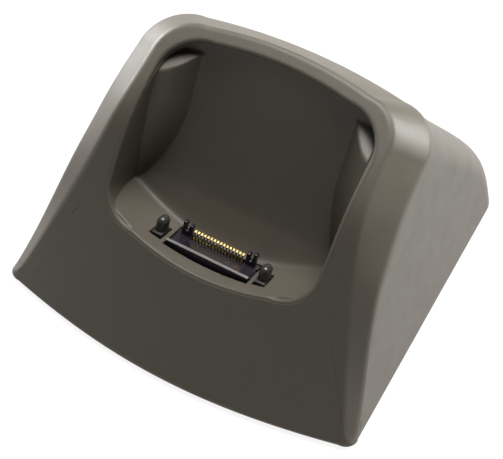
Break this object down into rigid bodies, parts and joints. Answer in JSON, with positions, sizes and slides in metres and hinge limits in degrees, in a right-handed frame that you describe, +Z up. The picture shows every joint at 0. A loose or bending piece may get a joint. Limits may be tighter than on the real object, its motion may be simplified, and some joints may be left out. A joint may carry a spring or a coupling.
{
  "type": "charging cradle",
  "caption": "Desktop charging cradle for a handheld computer: wedge body with a leaning well, guide posts and a tilting spring-contact connector.",
  "frame": {"origin": "centre of the bounding box, at the bottom of the feet", "axes": "+X to the right seen from the front, -Y to the front (the side the handheld faces), +Z up"},
  "size_m": [0.112, 0.12, 0.0744],
  "materials": {
    "casing": "dark warm grey, fine satin texture",
    "base": "matt",
    "foot_rubber": "matt",
    "screw_steel": "zinc plated",
    "ballast_steel": "plain steel",
    "board_green": "solder mask",
    "black_moulding": "matt",
    "plated_shell": "tin plated",
    "nickel_pin": "nickel plated",
    "chip_black": "matt",
    "capacitor_can": "satin",
    "socket_cream": "satin",
    "ribbon_film": "clear amber film",
    "bracket_steel": "plain steel",
    "connector_black": "black, slightly glossy",
    "contact_gold": "gold plated"
  },
  "bodies": {
    "cradle": {"front_shell": "casing", "device_well": "casing", "rear_housing": "casing", "base_plate": "base", "foot_front_left": "foot_rubber", "foot_front_right": "foot_rubber", "foot_rear_left": "foot_rubber", "foot_rear_right": "foot_rubber", "base_screws": "screw_steel", "ballast_screws": "screw_steel", "board_screws": "screw_steel", "bracket_screws": "screw_steel", "pivot_pin_left": "screw_steel", "pivot_pin_right": "screw_steel", "tilt_spring_front_left": "screw_steel", "tilt_spring_front_right": "screw_steel", "tilt_spring_rear_left": "screw_steel", "tilt_spring_rear_right": "screw_steel", "ballast_plate": "ballast_steel", "main_board": "board_green", "dc_jack_body": "black_moulding", "data_port_tongue": "black_moulding", "data_port_shell": "plated_shell", "dc_jack_pin": "nickel_pin", "charge_chip": "chip_black", "interface_chip": "chip_black", "power_inductor": "chip_black", "filter_capacitors": "capacitor_can", "ribbon_socket": "socket_cream", "ribbon_cable": "ribbon_film", "pivot_bracket": "bracket_steel"},
    "connector": {"connector_carrier": "black_moulding", "guide_post_left": "connector_black", "guide_post_right": "connector_black", "connector_board": "board_green", "connector_housing": "connector_black", "alignment_horn_left": "connector_black", "alignment_horn_right": "connector_black"},
    "contact_01_body": {"contact_01": "contact_gold"},
    "contact_02_body": {"contact_02": "contact_gold"},
    "contact_03_body": {"contact_03": "contact_gold"},
    "contact_04_body": {"contact_04": "contact_gold"},
    "contact_05_body": {"contact_05": "contact_gold"},
    "contact_06_body": {"contact_06": "contact_gold"},
    "contact_07_body": {"contact_07": "contact_gold"},
    "contact_08_body": {"contact_08": "contact_gold"},
    "contact_09_body": {"contact_09": "contact_gold"},
    "contact_10_body": {"contact_10": "contact_gold"},
    "contact_11_body": {"contact_11": "contact_gold"},
    "contact_12_body": {"contact_12": "contact_gold"},
    "contact_13_body": {"contact_13": "contact_gold"},
    "contact_14_body": {"contact_14": "contact_gold"},
    "contact_15_body": {"contact_15": "contact_gold"},
    "contact_16_body": {"contact_16": "contact_gold"}
  },
  "joints": [
    {"name": "connector_tilt", "type": "hinge", "parent": "cradle", "child": "connector", "pos_m": [0, -0.03486, 0.02105], "axis": [1, 0, 0], "range_deg": [-4, 4], "stiffness_Nm_per_rad": 0.03, "deforming": ["tilt_spring_front_left", "tilt_spring_front_right", "tilt_spring_rear_left", "tilt_spring_rear_right", "ribbon_cable"]},
    {"name": "contact_01_press", "type": "slide", "parent": "connector", "child": "contact_01_body", "axis": [0, -0.3256, -0.9455], "range_m": [0, 0.0005], "stiffness_N_per_m": 10},
    {"name": "contact_02_press", "type": "slide", "parent": "connector", "child": "contact_02_body", "axis": [0, -0.3256, -0.9455], "range_m": [0, 0.0005], "stiffness_N_per_m": 10},
    {"name": "contact_03_press", "type": "slide", "parent": "connector", "child": "contact_03_body", "axis": [0, -0.3256, -0.9455], "range_m": [0, 0.0005], "stiffness_N_per_m": 10},
    {"name": "contact_04_press", "type": "slide", "parent": "connector", "child": "contact_04_body", "axis": [0, -0.3256, -0.9455], "range_m": [0, 0.0005], "stiffness_N_per_m": 10},
    {"name": "contact_05_press", "type": "slide", "parent": "connector", "child": "contact_05_body", "axis": [0, -0.3256, -0.9455], "range_m": [0, 0.0005], "stiffness_N_per_m": 10},
    {"name": "contact_06_press", "type": "slide", "parent": "connector", "child": "contact_06_body", "axis": [0, -0.3256, -0.9455], "range_m": [0, 0.0005], "stiffness_N_per_m": 10},
    {"name": "contact_07_press", "type": "slide", "parent": "connector", "child": "contact_07_body", "axis": [0, -0.3256, -0.9455], "range_m": [0, 0.0005], "stiffness_N_per_m": 10},
    {"name": "contact_08_press", "type": "slide", "parent": "connector", "child": "contact_08_body", "axis": [0, -0.3256, -0.9455], "range_m": [0, 0.0005], "stiffness_N_per_m": 10},
    {"name": "contact_09_press", "type": "slide", "parent": "connector", "child": "contact_09_body", "axis": [0, -0.3256, -0.9455], "range_m": [0, 0.0005], "stiffness_N_per_m": 10},
    {"name": "contact_10_press", "type": "slide", "parent": "connector", "child": "contact_10_body", "axis": [0, -0.3256, -0.9455], "range_m": [0, 0.0005], "stiffness_N_per_m": 10},
    {"name": "contact_11_press", "type": "slide", "parent": "connector", "child": "contact_11_body", "axis": [0, -0.3256, -0.9455], "range_m": [0, 0.0005], "stiffness_N_per_m": 10},
    {"name": "contact_12_press", "type": "slide", "parent": "connector", "child": "contact_12_body", "axis": [0, -0.3256, -0.9455], "range_m": [0, 0.0005], "stiffness_N_per_m": 10},
    {"name": "contact_13_press", "type": "slide", "parent": "connector", "child": "contact_13_body", "axis": [0, -0.3256, -0.9455], "range_m": [0, 0.0005], "stiffness_N_per_m": 10},
    {"name": "contact_14_press", "type": "slide", "parent": "connector", "child": "contact_14_body", "axis": [0, -0.3256, -0.9455], "range_m": [0, 0.0005], "stiffness_N_per_m": 10},
    {"name": "contact_15_press", "type": "slide", "parent": "connector", "child": "contact_15_body", "axis": [0, -0.3256, -0.9455], "range_m": [0, 0.0005], "stiffness_N_per_m": 10},
    {"name": "contact_16_press", "type": "slide", "parent": "connector", "child": "contact_16_body", "axis": [0, -0.3256, -0.9455], "range_m": [0, 0.0005], "stiffness_N_per_m": 10}
  ],
  "couplings": [
    {"joint": "contact_02_press", "follows": "contact_01_press", "ratio": 1},
    {"joint": "contact_03_press", "follows": "contact_01_press", "ratio": 1},
    {"joint": "contact_04_press", "follows": "contact_01_press", "ratio": 1},
    {"joint": "contact_05_press", "follows": "contact_01_press", "ratio": 1},
    {"joint": "contact_06_press", "follows": "contact_01_press", "ratio": 1},
    {"joint": "contact_07_press", "follows": "contact_01_press", "ratio": 1},
    {"joint": "contact_08_press", "follows": "contact_01_press", "ratio": 1},
    {"joint": "contact_09_press", "follows": "contact_01_press", "ratio": 1},
    {"joint": "contact_10_press", "follows": "contact_01_press", "ratio": 1},
    {"joint": "contact_11_press", "follows": "contact_01_press", "ratio": 1},
    {"joint": "contact_12_press", "follows": "contact_01_press", "ratio": 1},
    {"joint": "contact_13_press", "follows": "contact_01_press", "ratio": 1},
    {"joint": "contact_14_press", "follows": "contact_01_press", "ratio": 1},
    {"joint": "contact_15_press", "follows": "contact_01_press", "ratio": 1},
    {"joint": "contact_16_press", "follows": "contact_01_press", "ratio": 1}
  ]
}
